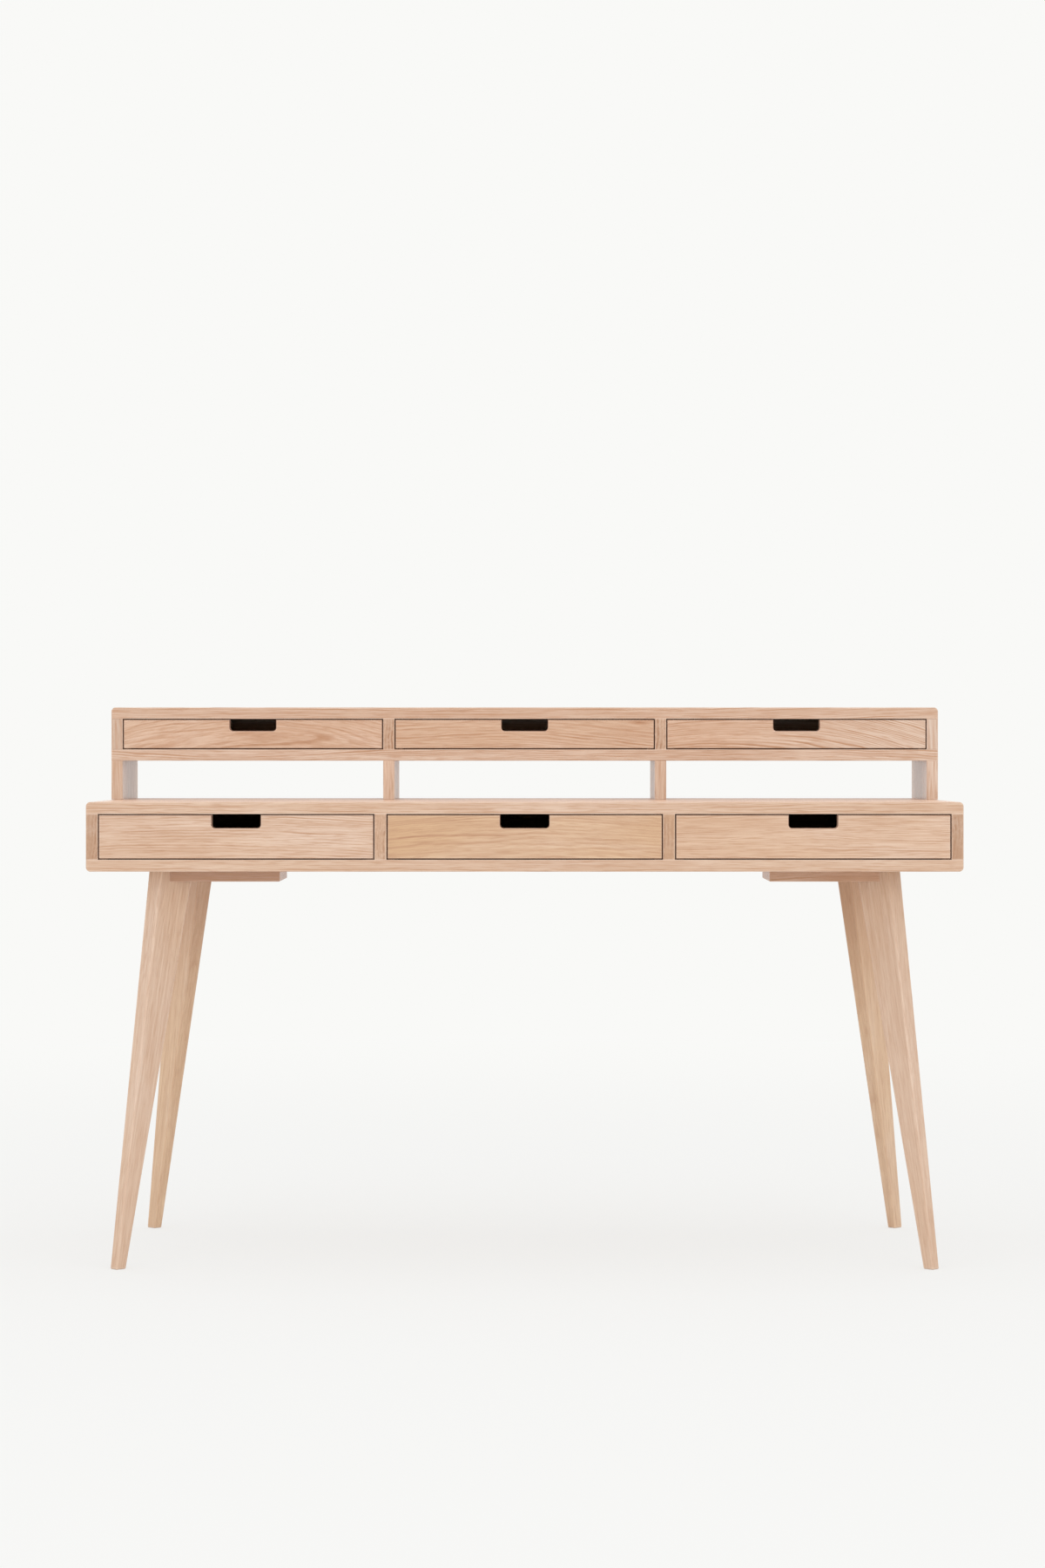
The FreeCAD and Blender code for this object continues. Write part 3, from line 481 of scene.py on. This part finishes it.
# Drawer fronts: oak boards with flat-sawn figure, set in flush with an even gap, with eased edges
# and a notch for the fingers in the upper edge.

# The fronts have a painted highlight just inside their edges, and painted shade in dark brown on the
# eased edges that face into the gaps.
FRONT_EDGE_HIGHLIGHT = (0.0035, 0.55)
FRONT_RIM_SHADE = 0.7


def front_finish(drawer, heart, slope, **looks):
    """Gives a drawer's front its board, with the painted highlight and painted shade that all six
    fronts have along their edges.
    """
    oak_finish(drawer + "_front", "X", heart, slope, edge_highlight=FRONT_EDGE_HIGHLIGHT, rim_shade=FRONT_RIM_SHADE, **looks)


front_finish("gallery_drawer_left", (20.06, 0.05, 0.0024), (-2.5, 3.4), ring=0.003, bow=0.62,
             crest=0.06)
front_finish("gallery_drawer_middle", (34.64, 0.06, -0.0322), (-1.6, 1.0), figure=2.2, ring=0.0027,
             pale=shade(221, 190, 161), bow=0.08)
front_finish("gallery_drawer_right", (3.73, 0.05, 0.0301), (0.4, 1.5), figure=2.0, bow=0.5,
             crest=-0.1, drift=("X", 0.3, 0.62, shade(231, 212, 192)))
front_finish("desk_drawer_left", (25.06, 0.09, 0.0639), (0.3, 0.5), figure=1.6, ring=0.003, bow=0.04)
front_finish("desk_drawer_middle", (16.3, 0.064, 0.036), (-0.8, -0.9), figure=1.6,
             pale=shade(216, 179, 138), bow=0.22, crest=0.04)
front_finish("desk_drawer_right", (15.02, 0.1, -0.0875), (0.2, 0.4), figure=1.4, ring=0.0026,
             pale=shade(225, 193, 164))


# Drawer boxes: plain oak sides and backs, sanded and left without oil, round a thin veneered bottom
# that slides into grooves. Each piece comes from its own place along the log.

BOX_LOOKS = {"slope": (0.6, 0.5), "pale": shade(214, 182, 150), "figure": 0.8, "rough": 0.4}
DRAWER_STEP = 2.7
for tier, first_place in (("desk", 0.5), ("gallery", 1.8)):
    for index, position in enumerate(("left", "middle", "right")):
        drawer = f"{tier}_drawer_{position}_"
        start = first_place + DRAWER_STEP * index
        for piece, grain, heart in (("side_left", "Y", (start, 0.04, 0.05)),
                                    ("side_right", "Y", (start + 0.7, -0.05, 0.04)),
                                    ("back", "X", (start + 1.3, 0.05, 0.04)),
                                    ("bottom", "Y", (start + 1.9, 0.03, 0.09))):
            oak_finish(drawer + piece, grain, heart, **BOX_LOOKS)


# Studio: a pale paper floor that runs out into a pale ground. Two large soft lamps stand in front
# and one hangs above. Two weak ones at the back lift the faces that look sideways.

GROUND = shade(249, 249, 247)
AMBIENT = shade(252, 252, 255)
AMBIENT_STRENGTH = 0.95


def seen_directly(tree):
    """1 where a ray comes from the camera, a reflection or a clear material, and otherwise 0."""
    path = put(tree, "LightPath").outputs
    seen = calc(tree, "ADD", path["Is Camera Ray"], path["Is Glossy Ray"])
    return calc(tree, "MINIMUM", calc(tree, "ADD", seen, path["Is Transmission Ray"]), 1.0)


world = bpy.data.worlds.new("studio")
bpy.context.scene.world = world
world.use_nodes = True
sky = world.node_tree
sky.nodes.clear()
ambient = put(sky, "Background", AMBIENT, AMBIENT_STRENGTH).outputs[0]
ground = put(sky, "Background", GROUND, 1.0).outputs[0]
backdrop = put(sky, "MixShader", seen_directly(sky), ambient, ground).outputs[0]
put(sky, "OutputWorld", backdrop)

FLOOR_RADIUS = 9
FLOOR_SIDES = 96
FLOOR_PAPER = shade(224, 224, 222)
GROUND_SHARE_NEAR = 0.73
GROUND_FROM = 0.7
GROUND_TO = 4.5
bpy.ops.mesh.primitive_circle_add(vertices=FLOOR_SIDES, radius=FLOOR_RADIUS, fill_type="NGON")
floor = bpy.context.object
floor.name = "floor"
paper = bpy.data.materials.new("pale_floor")
paper.use_nodes = True
paper_tree = paper.node_tree
paper_tree.nodes.clear()
from_desk = put(paper_tree, "VectorMath", put(paper_tree, "TexCoord").outputs["Object"],
                operation="LENGTH").outputs["Value"]
lit = put(paper_tree, "BsdfDiffuse", FLOOR_PAPER).outputs[0]
plain = put(paper_tree, "Emission", GROUND, 1.0).outputs[0]
fading = rise(paper_tree, from_desk, GROUND_FROM, GROUND_TO, GROUND_SHARE_NEAR, 1.0)
ground_share = calc(paper_tree, "MULTIPLY", seen_directly(paper_tree), fading)
put(paper_tree, "OutputMaterial", put(paper_tree, "MixShader", ground_share, lit, plain).outputs[0])
floor.data.materials.append(paper)

LAMP_AIM = Vector((0, 0, 0.6))
for name, place, size, power in (("lamp_left", (-2.8, -4.2, 1.5), 2.6, 29),
                                 ("lamp_right", (3.0, -4.0, 1.4), 2.6, 29),
                                 ("lamp_above", (0.0, -0.6, 3.4), 3.0, 20),
                                 ("lamp_back_left", (-3.2, 2.6, 1.4), 1.8, 8),
                                 ("lamp_back_right", (3.2, 2.6, 1.4), 1.8, 8)):
    lamp = bpy.data.lights.new(name, "AREA")
    lamp.shape = "SQUARE"
    lamp.size = size
    lamp.energy = power
    stand = bpy.data.objects.new(name, lamp)
    stand.location = place
    stand.visible_camera = False
    stand.rotation_euler = (LAMP_AIM - Vector(place)).to_track_quat("-Z", "Y").to_euler()
    bpy.context.scene.collection.objects.link(stand)


# Camera: level and straight in front, at the height of the gallery's lower board, and far enough
# back for a calm perspective. The small shifts set the desk where the picture has it.

CAMERA_DISTANCE = 6.1
EYE_LEVEL = 0.8163
SENSOR_WIDTH = 36
FOCAL_LENGTH = 83.52
SHIFT_X = -0.0014
SHIFT_Y = -0.015
eye = bpy.data.cameras.new("camera")
eye.sensor_width = SENSOR_WIDTH
eye.lens = FOCAL_LENGTH
eye.shift_x = SHIFT_X
eye.shift_y = SHIFT_Y
camera = bpy.data.objects.new("camera", eye)
camera.location = (0, -CAMERA_DISTANCE, EYE_LEVEL)
camera.rotation_euler = (radians(90), 0, 0)
bpy.context.scene.collection.objects.link(camera)
bpy.context.scene.camera = camera
bpy.context.scene.view_settings.view_transform = "Standard"
